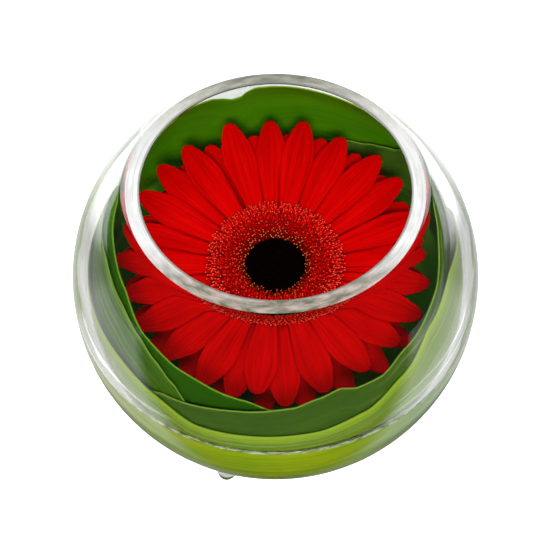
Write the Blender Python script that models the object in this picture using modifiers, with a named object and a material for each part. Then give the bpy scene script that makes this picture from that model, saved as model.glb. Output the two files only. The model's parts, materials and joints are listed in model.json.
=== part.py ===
"""A red gerbera in a round glass bowl that is lined with broad green leaves and half full of water.

Metres, +Z up, the front toward -Y. The bowl's small feet rest on z = 0. Heights that end in _Z are
measured from the centre of the ball that the bowl is cut from.
"""

import math

import bmesh
import bpy
from mathutils import Vector

# Bowl
BALL_RADIUS = 0.075
CENTRE_HEIGHT = 0.0666
RIM_Z = 0.0557
RIM_CHAMFER = 0.0006
BASE_Z = -0.0652
CAVITY_RADIUS = 0.0708
CAVITY_LIFT = 0.001
FLOOR_Z = -0.060
FLOOR_CORNER = 0.003
BOWL_STEPS = 48
ARC_STEPS = 10

# Feet, six small glass nubs low on the ball
FOOT_COUNT = 6
FOOT_FIRST_AZIMUTH = -21.0
FOOT_LATITUDE = -50.0
FOOT_CENTRE = 0.077
FOOT_LENGTH = 0.0097
FOOT_RADIUS = 0.0052
FOOT_ROOT = 0.0727
FOOT_SEGMENTS = 12
FOOT_RINGS = 8

# Leaves, thin sheets laid one inside the other against the wall
LEAF_THICKNESS = 0.00065
OUTER_LEAF_RADIUS = CAVITY_RADIUS - 0.0008
LEAF_SPACING = 0.00135
LEAF_COLUMN_SPAN = 6.8
LEAF_ROWS = 9
LEAF_TIP_WIDTH = 3.0
RIPPLE_DEPTH = 0.0007
RIPPLE_TURNS = 5.0
RIPPLE_SLANT = 1.5
CUTTER_COLUMN_SPAN = 9.0
CUTTER_CLEARANCE = 0.0007
CUTTER_MARGIN = 1.6
CUTTER_OVERRUN = 0.002

# Water
WATER_Z = 0.0005
CLEARANCE = 0.00035
WATER_STEPS = 48

# Bloom, in its own frame: the rays spring from z = 0 and +Z looks out of the flower
BLOOM_Z = 0.0075
BLOOM_TILT = math.radians(7.5)
RAY_THICKNESS = 0.00065
RAY_ROOT = 0.0105
RAY_REACH = 0.0570
UPPER_COLUMNS = 6
LOWER_COLUMNS = 4
UPPER_HALF_WIDTH = 0.0061
LOWER_HALF_WIDTH = 0.0060
UPPER_SLOPE = math.radians(7.5)
LOWER_SLOPE = math.radians(5.0)
UPPER_RISE = 0.0036
LOWER_RISE = 0.0010
UPPER_DROP = 0.0004
LOWER_DROP = 0.0024
TIER_DROP = 0.0011
RAY_ARCH = 0.0009
RAY_TROUGH = 0.0008
HUB_RADIUS = 0.0125
HUB_TOP = 0.0002
HUB_BOTTOM = -0.0041
FLORET_OUTER = 0.0250
FLORET_INNER = 0.0119
FLORET_EDGE = 0.0007
FLORET_BULGE = 0.0026
FLORET_RADIUS = 0.00075
FLORET_HEIGHT = 0.0022
FLORET_LEAN = 0.9
FLORET_COUNT = 102
GOLDEN_ANGLE = math.radians(137.508)
DISC_RADIUS = 0.0114
DISC_BOTTOM = 0.0006
DISC_EDGE = 0.0009
DISC_BULGE = 0.0014
BUD_HEIGHT = 0.00035
BUD_ARMS = 14
BUD_TWIST = 9000.0
CUP_RADIUS = 0.0105
CUP_BOTTOM = -0.0132
POCKET_DEPTH = 0.016
POCKET_FLARE = 0.004
BRACT_COUNT = 16
BRACT_RISE = 0.0073
BRACT_REACH = 0.0036
BRACT_HALF_WIDTH = 0.0014
BRACT_THICKNESS = 0.0007
STEM_RADIUS = 0.0029
STEM_PULL = 0.016
STEM_END = Vector((0.001, 0.0085, FLOOR_Z + 0.0007))


class Leaf:
    """One broad leaf laid round the wall: where it runs, how far it stands in from the wall in
    layers, its upper edge and how its ends narrow."""

    def __init__(self, name, start, end, low, taper, layers, edge, colour):
        self.name = name
        self.start = start
        self.end = end
        self.low = low
        self.taper = taper
        self.layers = layers
        self.edge = edge
        self.colour = colour

    def radius(self, azimuth):
        return OUTER_LEAF_RADIUS - LEAF_SPACING * eased(self.layers, azimuth)

    def least_radius(self):
        return OUTER_LEAF_RADIUS - LEAF_SPACING * max(layer for azimuth, layer in self.layers)


# Azimuths in degrees from the front, positive to the right; upper edges in mm above the centre
LEAVES = (
    Leaf("leaf_outer", -136, 112, -60, (70, 60), ((0, 0),),
         ((-136, 10), (-115, 19), (-85, 18), (-50, 16.5), (-35, 14), (-22, 9), (-5, 9.5), (12, 9.8),
          (26, 13.5), (38, 21), (52, 30), (70, 34), (95, 30), (112, 14)), (0.30, 0.42, 0.03)),
    Leaf("leaf_right", -60, 166, -61, (75, 55), ((50, 1), (90, 2.4)),
         ((-60, -8), (-33, 15.7), (-10, 20), (5, 21.8), (12, 24.2), (19, 26.2), (24, 24.4), (32, 24.6),
          (41, 29), (60, 34), (80, 38.5), (104, 41), (118, 36), (130, 25), (136.5, 17.5), (144, 12.8),
          (150, 9), (157, 7), (166, 2)), (0.09, 0.26, 0.02)),
    Leaf("leaf_left", -104, -8, -59, (62, 75), ((0, 2),),
         ((-104, 26), (-93, 33), (-75, 34.5), (-58, 32.5), (-46, 29), (-38, 25.5), (-31, 21),
          (-24, 13), (-8, -8)), (0.11, 0.30, 0.02)),
    Leaf("leaf_inner", -265, 16, -57, (60, 60),
         ((-247, 1), (-232, 0.2), (-143, 0.2), (-135, 1), (-118, 3)),
         ((-265, 20), (-250, 38), (-238, 44), (-215, 46.5), (-187, 46), (-180, 44), (-173, 42),
          (-170, 36.5), (-168, 30.5), (-165, 29.5), (-160, 34), (-156, 38), (-151, 39.5), (-142, 43.5),
          (-128, 44), (-112, 42.5), (-98, 41), (-80, 38), (-61, 35.5), (-45, 29.5), (-29, 26.3),
          (-9, 22), (0, 18), (16, 2)), (0.10, 0.28, 0.01)),
)

# How wide a ray is along its length: share of the length, share of the greatest width
RAY_OUTLINE = ((0, 0.30), (0.31, 0.62), (0.55, 0.88), (0.70, 1.0), (0.80, 0.92), (0.90, 0.68),
               (0.96, 0.46), (1.0, 0.20))

# Each ray: its angle in degrees from the right, its tip in mm from the middle of the flower,
# and 1 where it lies a little under its neighbours
UPPER_RAYS = (
    (0.5, 54.7, 1), (16, 56.5, 0), (34, 56.8, 1), (46.5, 56.9, 0), (63, 56.5, 1), (79, 57.7, 0),
    (92, 57.7, 1), (108, 58.5, 0), (127, 57.1, 0), (139.5, 57.8, 1), (153.5, 56.4, 0), (169, 56, 1),
    (182.5, 58.2, 0), (196.5, 56.3, 1), (211, 56.6, 0), (226, 55.5, 1), (243, 56.7, 0),
    (254.5, 56.5, 1), (263, 53.9, 0), (273.5, 57.9, 1), (288, 55.8, 0), (305, 55.1, 0),
    (321, 55.3, 1), (334, 56.9, 0), (348, 56.4, 1),
)
LOWER_RAYS = (
    (9.5, 55, 0), (26, 55.5, 1), (40.5, 55.5, 0), (55.5, 56.8, 1), (71, 56.3, 0), (84.5, 56.3, 1),
    (99, 55.3, 0), (117, 57, 1), (132, 54.5, 0), (146, 53, 1), (161, 53.7, 0), (176, 56.5, 1),
    (190.5, 55.2, 0), (204.5, 56, 1), (218.5, 56.5, 0), (233.5, 56, 1), (249, 55.2, 0),
    (266, 57.7, 1), (281, 57.7, 0), (297, 57.4, 1), (312, 57.7, 0), (326, 57.5, 1), (340, 51, 0),
    (354, 54.4, 1),
)


def clear_scene():
    for item in list(bpy.data.objects):
        bpy.data.objects.remove(item, do_unlink=True)


def new_collection(name):
    collection = bpy.data.collections.new(name)
    bpy.context.scene.collection.children.link(collection)
    return collection


def make_material(name, colour, roughness, transmission=0.0):
    material = bpy.data.materials.new(name)
    material.use_nodes = True
    shader = material.node_tree.nodes["Principled BSDF"]
    shader.inputs["Base Color"].default_value = (*colour, 1.0)
    shader.inputs["Roughness"].default_value = roughness
    shader.inputs["Metallic"].default_value = 0.0
    shader.inputs["Transmission Weight"].default_value = transmission
    material.diffuse_color = (*colour, 1.0 - 0.7 * transmission)
    return material


def add_object(name, mesh, collection, parent, material=None):
    item = bpy.data.objects.new(name, mesh)
    collection.objects.link(item)
    item.parent = parent
    if material:
        mesh.materials.append(material)
    return item


def mesh_from(bm, name):
    mesh = bpy.data.meshes.new(name)
    bm.to_mesh(mesh)
    bm.free()
    return mesh


def shade(item, angle=35.0):
    item.data.shade_smooth()
    item.data.set_sharp_from_angle(angle=math.radians(angle))


def turned(name, profile, steps, collection, parent, material, closed=False):
    """A solid of revolution from (radius, height) points that run down its outer side."""
    mesh = bpy.data.meshes.new(name)
    points = [(radius, 0.0, height) for radius, height in profile]
    edges = [(i, i + 1) for i in range(len(points) - 1)]
    if closed:
        edges.append((len(points) - 1, 0))
    mesh.from_pydata(points, edges, [])
    item = add_object(name, mesh, collection, parent, material)
    screw = item.modifiers.new("turn", "SCREW")
    screw.steps = steps
    screw.render_steps = steps
    screw.use_merge_vertices = True
    screw.merge_threshold = 0.00001
    return item


def sheet(name, shape, columns, rows, thickness, collection, parent, material, offset=0.0):
    """A thin curved sheet: a flat grid carried through shape(u, v), with u and v from 0 to 1."""
    bm = bmesh.new()
    bmesh.ops.create_grid(bm, x_segments=columns, y_segments=rows, size=0.5)
    for vertex in bm.verts:
        vertex.co = shape(vertex.co.x + 0.5, vertex.co.y + 0.5)
    bmesh.ops.triangulate(bm, faces=bm.faces)
    item = add_object(name, mesh_from(bm, name), collection, parent, material)
    solidify = item.modifiers.new("thickness", "SOLIDIFY")
    solidify.thickness = thickness
    solidify.offset = offset
    return item


def apply_modifiers(item):
    bpy.context.view_layer.update()
    graph = bpy.context.evaluated_depsgraph_get()
    mesh = bpy.data.meshes.new_from_object(item.evaluated_get(graph))
    item.modifiers.clear()
    item.data = mesh


def combine(item, tools, operation, solver="EXACT"):
    """Join a collection of solids to an object, or cut them out of it, and remove the collection."""
    boolean = item.modifiers.new("combine", "BOOLEAN")
    boolean.operation = operation
    boolean.solver = solver
    boolean.operand_type = "COLLECTION"
    boolean.collection = tools
    apply_modifiers(item)
    for tool in list(tools.objects):
        bpy.data.objects.remove(tool, do_unlink=True)
    bpy.data.collections.remove(tools)


def eased(points, place):
    """The value at a place along a list of (place, value) points, eased from each to the next."""
    if place <= points[0][0]:
        return points[0][1]
    for (x0, y0), (x1, y1) in zip(points, points[1:]):
        if place <= x1:
            part = (place - x0) / (x1 - x0)
            part = 0.5 * part + 0.5 * part * part * (3.0 - 2.0 * part)
            return y0 + (y1 - y0) * part
    return points[-1][1]


def arc(centre_height, radius, first, last, steps):
    """Points of a circle round the axis at centre_height, between two latitudes in radians."""
    points = []
    for i in range(steps + 1):
        latitude = first + (last - first) * i / steps
        points.append((radius * math.cos(latitude), centre_height + radius * math.sin(latitude)))
    return points


def bowl_profile():
    inner_top = math.asin((RIM_Z - RIM_CHAMFER - CAVITY_LIFT) / CAVITY_RADIUS)
    inner_low = math.asin((FLOOR_Z + FLOOR_CORNER - CAVITY_LIFT) / CAVITY_RADIUS)
    outer_top = math.asin((RIM_Z - RIM_CHAMFER) / BALL_RADIUS)
    outer_low = math.asin(BASE_Z / BALL_RADIUS)
    inner = arc(CAVITY_LIFT, CAVITY_RADIUS, inner_low, inner_top, ARC_STEPS)
    outer = arc(0.0, BALL_RADIUS, outer_top, outer_low, ARC_STEPS)
    floor_edge = inner[0][0] - FLOOR_CORNER
    rim_inner = inner[-1][0] + RIM_CHAMFER
    rim_outer = outer[0][0] - RIM_CHAMFER
    return ([(0.0, FLOOR_Z), (floor_edge, FLOOR_Z)] + inner + [(rim_inner, RIM_Z), (rim_outer, RIM_Z)]
            + outer + [(0.0, BASE_Z)])


def make_foot(index, collection, parent):
    """One nub: a long ball half sunk in the wall, cut flat where it meets the table."""
    azimuth = math.radians(FOOT_FIRST_AZIMUTH + 360.0 / FOOT_COUNT * index)
    latitude = math.radians(FOOT_LATITUDE)
    outward = Vector((math.sin(azimuth) * math.cos(latitude), -math.cos(azimuth) * math.cos(latitude),
                      math.sin(latitude)))
    turn = outward.to_track_quat("Z", "Y").to_matrix()
    bm = bmesh.new()
    bmesh.ops.create_uvsphere(bm, u_segments=FOOT_SEGMENTS, v_segments=FOOT_RINGS, radius=1.0)
    for vertex in bm.verts:
        scaled = Vector((vertex.co.x * FOOT_RADIUS, vertex.co.y * FOOT_RADIUS, vertex.co.z * FOOT_LENGTH))
        vertex.co = turn @ scaled + outward * FOOT_CENTRE
    down = Vector((0.0, 0.0, -1.0))
    for point, normal in ((outward * FOOT_ROOT, -outward), (down * CENTRE_HEIGHT, down)):
        geometry = bm.verts[:] + bm.edges[:] + bm.faces[:]
        cut = bmesh.ops.bisect_plane(bm, geom=geometry, plane_co=point, plane_no=normal, clear_outer=True)
        edges = [part for part in cut["geom_cut"] if isinstance(part, bmesh.types.BMEdge)]
        bmesh.ops.contextual_create(bm, geom=edges)
    bmesh.ops.recalc_face_normals(bm, faces=bm.faces)
    return add_object("foot", mesh_from(bm, "foot"), collection, parent)


def make_bowl(part, parent):
    glass = make_material("clear_glass", (0.93, 0.96, 0.94), 0.03, 1.0)
    bowl = turned("glass_bowl", bowl_profile(), BOWL_STEPS, part, parent, glass)
    feet = new_collection("feet")
    for index in range(FOOT_COUNT):
        make_foot(index, feet, parent)
    combine(bowl, feet, "UNION")
    shade(bowl)


def ripple(azimuth, latitude):
    """How far the lining stands in from the wall; all leaves share it, so they never cross."""
    wave = 0.5 + 0.5 * math.sin(math.radians(RIPPLE_TURNS * azimuth) + RIPPLE_SLANT * latitude)
    return RIPPLE_DEPTH * wave


def leaf_columns(leaf, span):
    return round((leaf.end - leaf.start) / span)


def leaf_shape(leaf, inset=0.0, grow=0.0):
    """The leaf's surface, or one that lies inset further in from the wall; grow widens it, in degrees."""
    start = leaf.start - grow
    end = leaf.end + grow

    def shape(u, v):
        azimuth = start + (end - start) * (0.45 * u + 0.275 * (1.0 - math.cos(math.pi * u)))
        radius = leaf.radius(azimuth)
        edge = eased(leaf.edge, azimuth) * 0.001 - CAVITY_LIFT
        upper = math.degrees(math.asin(edge / radius))
        narrow = min(1.0, (azimuth - start) / leaf.taper[0], (end - azimuth) / leaf.taper[1])
        width = (upper - leaf.low) * math.sin(math.pi / 2.0 * max(0.0, narrow))
        lower = upper - max(width, LEAF_TIP_WIDTH) - grow
        latitude = math.radians(lower + (upper + grow - lower) * v)
        turn = math.radians(azimuth)
        distance = radius - inset - ripple(azimuth, latitude)
        reach = distance * math.cos(latitude)
        lowest = FLOOR_Z + CAVITY_RADIUS - radius + inset
        height = max(distance * math.sin(latitude) + CAVITY_LIFT, lowest)
        return Vector((reach * math.sin(turn), -reach * math.cos(turn), height))

    return shape


def make_leaves(part, parent):
    for leaf in LEAVES:
        green = make_material(leaf.name, leaf.colour, 0.45)
        columns = leaf_columns(leaf, LEAF_COLUMN_SPAN)
        item = sheet(leaf.name, leaf_shape(leaf), columns, LEAF_ROWS, LEAF_THICKNESS, part, parent, green)
        shade(item, 60.0)


def make_leaf_cutters(collection, parent):
    """The room that each leaf takes from the water, out to beyond the wall."""
    inset = LEAF_THICKNESS / 2.0 + CUTTER_CLEARANCE
    for leaf in LEAVES:
        depth = CAVITY_RADIUS + CUTTER_OVERRUN - leaf.least_radius() + inset
        columns = leaf_columns(leaf, CUTTER_COLUMN_SPAN)
        shape = leaf_shape(leaf, inset, CUTTER_MARGIN)
        sheet("leaf_room", shape, columns, LEAF_ROWS, depth, collection, parent, None, 1.0)


def make_stem_cutter(collection, bloom):
    """A round hole down the water for the stem, and a wider pocket for the green cup over it."""
    below = STEM_END - Vector((0.0, 0.0, CAVITY_LIFT))
    make_tube("stem_room", STEM_RADIUS + CLEARANCE, below, collection, bloom)
    bm = bmesh.new()
    narrow = CUP_RADIUS - 0.25 * POCKET_FLARE
    bmesh.ops.create_cone(bm, cap_ends=True, segments=24, radius1=narrow, radius2=narrow + POCKET_FLARE,
                          depth=POCKET_DEPTH)
    pocket = add_object("cup_room", mesh_from(bm, "cup_room"), collection, bloom)
    pocket.location = (0.0, 0.0, CUP_BOTTOM - 0.001 + POCKET_DEPTH / 2.0)


def keep_largest(item):
    """Drop any loose scrap that a cut left beside the main body."""
    bm = bmesh.new()
    bm.from_mesh(item.data)
    left = set(bm.verts)
    bodies = []
    while left:
        queue = [left.pop()]
        body = list(queue)
        while queue:
            for edge in queue.pop().link_edges:
                for vertex in edge.verts:
                    if vertex in left:
                        left.remove(vertex)
                        queue.append(vertex)
                        body.append(vertex)
        bodies.append(body)
    bodies.sort(key=len)
    for body in bodies[:-1]:
        bmesh.ops.delete(bm, geom=body, context="VERTS")
    bm.to_mesh(item.data)
    bm.free()


def make_water(part, parent, bloom):
    clear = make_material("water", (0.95, 0.98, 0.97), 0.0, 1.0)
    radius = CAVITY_RADIUS - CLEARANCE
    floor = FLOOR_Z + CLEARANCE
    top = math.asin((WATER_Z - CAVITY_LIFT) / radius)
    low = math.asin((floor + FLOOR_CORNER - CAVITY_LIFT) / radius)
    wall = arc(CAVITY_LIFT, radius, top, low, ARC_STEPS)
    profile = [(0.0, WATER_Z)] + wall + [(wall[-1][0] - FLOOR_CORNER, floor), (0.0, floor)]
    water = turned("water", profile, WATER_STEPS, part, parent, clear)
    room = new_collection("room")
    make_leaf_cutters(room, parent)
    make_stem_cutter(room, bloom)
    combine(water, room, "DIFFERENCE")
    keep_largest(water)
    shade(water)


def ray_shape(angle, tip, half_width, slope, rise, drop):
    """A strap-shaped ray: narrow at its root, widest past the middle, curving up to a blunt tip."""
    along = Vector((math.cos(angle), math.sin(angle), 0.0))
    across = Vector((-math.sin(angle), math.cos(angle), 0.0))

    def shape(part_along, v):
        u = 1.0 - (1.0 - part_along) ** 1.6
        length = RAY_ROOT + (tip - RAY_ROOT) * u
        width = eased(RAY_OUTLINE, u)
        height = (length - RAY_ROOT) * math.tan(slope) + RAY_ARCH * math.sin(math.pi * u)
        height += rise * u ** 3 - drop + RAY_TROUGH * abs(2.0 * v - 1.0) ** 1.5 * width
        return along * length + across * (2.0 * v - 1.0) * half_width * width + Vector((0.0, 0.0, height))

    return shape


def add_whorl(rays, half_width, slope, rise, drop, columns, collection, bloom, red):
    for angle, tip, under in rays:
        shape = ray_shape(math.radians(angle), tip * 0.001, half_width, slope, rise, drop + TIER_DROP * under)
        sheet("ray", shape, columns, 2, RAY_THICKNESS, collection, bloom, red)


def make_rays(part, bloom):
    """Two whorls of red rays joined by their roots round a small hub."""
    red = make_material("red_ray", (0.62, 0.0, 0.0), 0.5)
    profile = [(0.0, HUB_TOP), (HUB_RADIUS, HUB_TOP), (HUB_RADIUS, HUB_BOTTOM), (0.0, HUB_BOTTOM)]
    hub = turned("gerbera_rays", profile, 24, part, bloom, red)
    whorls = new_collection("whorls")
    add_whorl(UPPER_RAYS, UPPER_HALF_WIDTH, UPPER_SLOPE, UPPER_RISE, UPPER_DROP, UPPER_COLUMNS,
              whorls, bloom, red)
    add_whorl(LOWER_RAYS, LOWER_HALF_WIDTH, LOWER_SLOPE, LOWER_RISE, LOWER_DROP, LOWER_COLUMNS,
              whorls, bloom, red)
    combine(hub, whorls, "UNION", "MANIFOLD")
    shade(hub)


def ring_underside(radius):
    """Height just above the rays, which the ring of florets lies on."""
    outward = radius - RAY_ROOT
    rise = UPPER_RISE * (outward / (RAY_REACH - RAY_ROOT)) ** 3
    return outward * math.tan(UPPER_SLOPE) + rise + RAY_ARCH + 2.0 * CLEARANCE


def ring_top(radius):
    part = (radius - FLORET_INNER) / (FLORET_OUTER - FLORET_INNER)
    return ring_underside(radius) + FLORET_EDGE + FLORET_BULGE * math.sin(math.pi * (0.18 + 0.80 * part))


def make_trans_florets(part, bloom):
    """The raised ring of small red florets round the eye, their tips standing out of it."""
    red = make_material("red_floret", (0.70, 0.02, 0.01), 0.5)
    steps = 6
    radii = [FLORET_INNER + (FLORET_OUTER - FLORET_INNER) * i / steps for i in range(steps + 1)]
    profile = [(radius, ring_top(radius)) for radius in radii]
    profile += [(radius, ring_underside(radius)) for radius in (FLORET_OUTER, FLORET_INNER)]
    ring = turned("gerbera_trans_florets", profile, 36, part, bloom, red, True)
    tips = new_collection("tips")
    inner = FLORET_INNER + FLORET_RADIUS
    outer = FLORET_OUTER - FLORET_RADIUS
    for index in range(FLORET_COUNT):
        part_out = (index + 0.5) / FLORET_COUNT
        radius = math.sqrt(inner ** 2 * (1.0 - part_out) + outer ** 2 * part_out)
        angle = index * GOLDEN_ANGLE
        bm = bmesh.new()
        bmesh.ops.create_cone(bm, cap_ends=True, segments=3, radius1=FLORET_RADIUS,
                              radius2=0.45 * FLORET_RADIUS, depth=FLORET_HEIGHT)
        tip = add_object("tip", mesh_from(bm, "tip"), tips, bloom)
        tip.location = (radius * math.cos(angle), radius * math.sin(angle), ring_top(radius))
        tip.rotation_euler = (0.0, FLORET_LEAN * (part_out - 0.2), angle)
    combine(ring, tips, "UNION", "MANIFOLD")
    shade(ring)


def make_disc(part, bloom):
    """The dark eye: a low dome of packed buds, as relief on one body."""
    dark = make_material("dark_eye", (0.02, 0.004, 0.004), 0.7)
    rings = 6
    profile = []
    for i in range(rings + 1):
        lean = math.pi / 2.0 * i / rings
        height = DISC_BOTTOM + DISC_EDGE + DISC_BULGE * math.cos(lean)
        profile.append((DISC_RADIUS * math.sin(lean), height))
    profile += [(DISC_RADIUS, DISC_BOTTOM), (0.0, DISC_BOTTOM)]
    disc = turned("gerbera_disc", profile, 28, part, bloom, dark)
    apply_modifiers(disc)
    for vertex in disc.data.vertices:
        radius = math.hypot(vertex.co.x, vertex.co.y)
        if vertex.co.z > DISC_BOTTOM + DISC_EDGE and 0.1 * DISC_RADIUS < radius < 0.98 * DISC_RADIUS:
            turn = math.atan2(vertex.co.y, vertex.co.x)
            vertex.co.z += BUD_HEIGHT * math.cos(BUD_ARMS * turn + BUD_TWIST * radius)
    shade(disc)


def make_tube(name, radius, end, collection, bloom):
    """The stem's line as a round tube, from inside the green cup down to end, which is measured
    from the ball's centre."""
    curve = bpy.data.curves.new(name, "CURVE")
    curve.dimensions = "3D"
    curve.bevel_depth = radius
    curve.bevel_resolution = 2
    curve.resolution_u = 6
    curve.use_fill_caps = True
    spline = curve.splines.new("BEZIER")
    spline.bezier_points.add(1)
    start = Vector((0.0, 0.0, CUP_BOTTOM + 0.003))
    finish = bloom.matrix_local.inverted() @ end
    pull = Vector((0.0, 0.0, STEM_PULL))
    for point, place in zip(spline.bezier_points, (start, finish)):
        point.co = place
        point.handle_left = place + pull
        point.handle_right = place - pull
    line = bpy.data.objects.new(name, curve)
    collection.objects.link(line)
    line.parent = bloom
    bpy.context.view_layer.update()
    graph = bpy.context.evaluated_depsgraph_get()
    mesh = bpy.data.meshes.new_from_object(line.evaluated_get(graph))
    bpy.data.objects.remove(line, do_unlink=True)
    bm = bmesh.new()
    bm.from_mesh(mesh)
    bmesh.ops.remove_doubles(bm, verts=bm.verts, dist=0.00001)
    bm.to_mesh(mesh)
    bm.free()
    return add_object(name, mesh, collection, bloom)


def bract_shape(angle, root, lift):
    """A narrow pointed scale that leans out from the cup."""
    along = Vector((math.cos(angle), math.sin(angle), 0.0))
    across = Vector((-math.sin(angle), math.cos(angle), 0.0))

    def shape(u, v):
        side = (2.0 * v - 1.0) * BRACT_HALF_WIDTH * (1.0 - 0.8 * u ** 1.6)
        return along * (root + BRACT_REACH * u) + across * side + Vector((0.0, 0.0, lift + BRACT_RISE * u))

    return shape


def make_stem(part, bloom):
    """The cut stem, with the green cup under the bloom and its pointed bracts."""
    green = make_material("green_stem", (0.16, 0.30, 0.06), 0.55)
    top = HUB_BOTTOM - CLEARANCE
    profile = [(0.0, top), (CUP_RADIUS, top), (CUP_RADIUS, top - 0.002), (CUP_RADIUS * 0.8, top - 0.0045),
               (CUP_RADIUS * 0.48, top - 0.0075), (STEM_RADIUS * 1.05, CUP_BOTTOM), (0.0, CUP_BOTTOM)]
    cup = turned("gerbera_stem", profile, 24, part, bloom, green)
    grown = new_collection("grown")
    make_tube("stem", STEM_RADIUS, STEM_END, grown, bloom)
    for index in range(BRACT_COUNT):
        angle = 2.0 * math.pi * index / BRACT_COUNT
        row = index % 2
        shape = bract_shape(angle, CUP_RADIUS * (0.62 - 0.14 * row), top - 0.0075 - 0.0012 * row)
        sheet("bract", shape, 3, 2, BRACT_THICKNESS, grown, bloom, green)
    combine(cup, grown, "UNION", "MANIFOLD")
    shade(cup)


def main():
    clear_scene()
    part = new_collection("gerbera_in_a_bowl")
    centre = bpy.data.objects.new("ball_centre", None)
    part.objects.link(centre)
    centre.location = (0.0, 0.0, CENTRE_HEIGHT)
    bloom = bpy.data.objects.new("bloom_frame", None)
    part.objects.link(bloom)
    bloom.parent = centre
    bloom.location = (0.0, 0.0, BLOOM_Z)
    bloom.rotation_euler = (BLOOM_TILT, 0.0, 0.0)
    bpy.context.view_layer.update()
    make_bowl(part, centre)
    make_leaves(part, centre)
    make_rays(part, bloom)
    make_trans_florets(part, bloom)
    make_disc(part, bloom)
    make_stem(part, bloom)
    make_water(part, centre, bloom)


main()
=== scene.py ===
"""The looks of a red gerbera that floats in a round, leaf-lined glass bowl.

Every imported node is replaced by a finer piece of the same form. Metres, +Z up, the front toward -Y.
Heights that end in _Z are measured from the centre of the ball that the bowl is cut from, and those of
the bloom's parts from the middle of its head, in a frame that leans with it.
"""

import json
import math
import random
from collections import namedtuple

import bmesh
import bpy
from mathutils import Matrix, Vector

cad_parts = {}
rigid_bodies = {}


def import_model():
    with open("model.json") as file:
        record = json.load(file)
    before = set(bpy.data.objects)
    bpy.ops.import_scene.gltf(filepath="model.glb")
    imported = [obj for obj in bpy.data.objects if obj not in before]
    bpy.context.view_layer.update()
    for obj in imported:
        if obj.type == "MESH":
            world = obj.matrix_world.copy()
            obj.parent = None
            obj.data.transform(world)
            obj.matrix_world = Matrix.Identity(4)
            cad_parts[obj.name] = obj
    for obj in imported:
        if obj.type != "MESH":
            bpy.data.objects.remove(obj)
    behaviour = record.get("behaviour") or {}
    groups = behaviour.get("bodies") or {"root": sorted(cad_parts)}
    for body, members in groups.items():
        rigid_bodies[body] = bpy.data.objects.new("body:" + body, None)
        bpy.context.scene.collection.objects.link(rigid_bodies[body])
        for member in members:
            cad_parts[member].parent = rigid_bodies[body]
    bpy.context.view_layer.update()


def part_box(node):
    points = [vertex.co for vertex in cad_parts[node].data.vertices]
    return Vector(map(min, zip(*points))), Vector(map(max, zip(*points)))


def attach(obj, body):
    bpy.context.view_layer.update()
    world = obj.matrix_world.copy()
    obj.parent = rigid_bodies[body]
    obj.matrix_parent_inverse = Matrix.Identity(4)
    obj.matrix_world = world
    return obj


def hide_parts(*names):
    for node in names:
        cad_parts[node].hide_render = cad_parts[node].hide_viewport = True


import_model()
BODY = "root"

# Bowl
BOWL_LOW, BOWL_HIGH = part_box("glass_bowl")
BALL_RADIUS = (BOWL_HIGH.x - BOWL_LOW.x) / 2.0
CENTRE_HEIGHT = 0.0666
CENTRE = Vector((0.0, 0.0, CENTRE_HEIGHT))
RIM_Z = BOWL_HIGH.z - CENTRE_HEIGHT
RIM_ROUND = 0.0005
RIM_RADIUS = math.sqrt(BALL_RADIUS ** 2 - RIM_Z ** 2)
RIM_WIDTH = 0.0049
RIM_INNER_LINE = 0.0003
RIM_GREY_LINE = 0.0012
BASE_Z = -0.0652
CAVITY_RADIUS = 0.0708
CAVITY_LIFT = 0.001
FLOOR_Z = -0.060
FLOOR_CORNER = 0.004
BOWL_STEPS = 160
BOWL_ARC_STEPS = 40
FOOT_COUNT = 6
FOOT_FIRST_AZIMUTH = -21.0
FOOT_LATITUDE = -50.0
FOOT_CENTRE = 0.077
FOOT_LENGTH = 0.0097
FOOT_RADIUS = 0.0052
FOOT_ROOT = 0.0727

# Leaves
LEAF_THICKNESS = 0.0004
OUTER_LEAF_RADIUS = CAVITY_RADIUS - 0.0008
LEAF_SPACING = 0.00135
LEAF_TIP_WIDTH = 3.0
RIPPLE_DEPTH = 0.0007
RIPPLE_TURNS = 5.0
RIPPLE_SLANT = 1.5
LEAF_CELL = 0.0013
LEAF_TALL = math.radians(85.0)

# Water
WATER_Z = 0.0005
WATER_IN_GLASS = 0.0001
MENISCUS_HEIGHT = 0.0022
MENISCUS_WIDTH = 0.012
MENISCUS_REACH = 0.001
# Height above the water where its edge takes the painted white highlight
MENISCUS_WHITE = 0.0012
WATER_LEVEL = CENTRE_HEIGHT + WATER_Z

# Bloom
BLOOM_Z = 0.0075
BLOOM_TILT = math.radians(7.5)
BLOOM_PLACE = CENTRE + Vector((0.0, 0.0, BLOOM_Z))
BLOOM_FRAME = Matrix.Translation(BLOOM_PLACE) @ Matrix.Rotation(BLOOM_TILT, 4, "X")
CLEARANCE = 0.00035
RAY_THICKNESS = 0.0004
RAY_ROOT = 0.0105
RAY_REACH = 0.0570
TIER_DROP = 0.0011
RAY_ARCH = 0.0009
RAY_TROUGH = 0.0008
RAY_TIP_DEPTH = 0.0013
RAY_TEETH = 0.00025
RAY_FURROW = 0.0003
FURROW_PLACES = (0.36, -0.34)
FURROW_WIDTH = 0.10
RAY_COLUMNS = 30
RAY_ROWS = 16
HUB_RADIUS = 0.0125
HUB_TOP = 0.0002
HUB_BOTTOM = -0.0041
CENTRE_SHIFT = -0.0008
CENTRE_FRAME = BLOOM_FRAME @ Matrix.Translation((0.0, CENTRE_SHIFT, 0.0))
FLORET_OUTER = 0.0250
FLORET_INNER = 0.0119
FLORET_EDGE = 0.0004
FLORET_BULGE = 0.0021
FLORET_COUNT = 1500
FIRST_FLORET = FLORET_INNER + 0.0002
LAST_FLORET = FLORET_OUTER - 0.0014
FLORET_SCATTER = 0.0004
FLORET_TURN = 0.02
FLORET_LEAN = -0.75
FLORET_LEAN_GAIN = 2.0
FLORET_LEAN_SCATTER = 0.2
FLORET_SWAY = 0.35
FLORET_CURL = 0.35
FLORET_LENGTHS = (0.0011, 0.0019)
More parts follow.
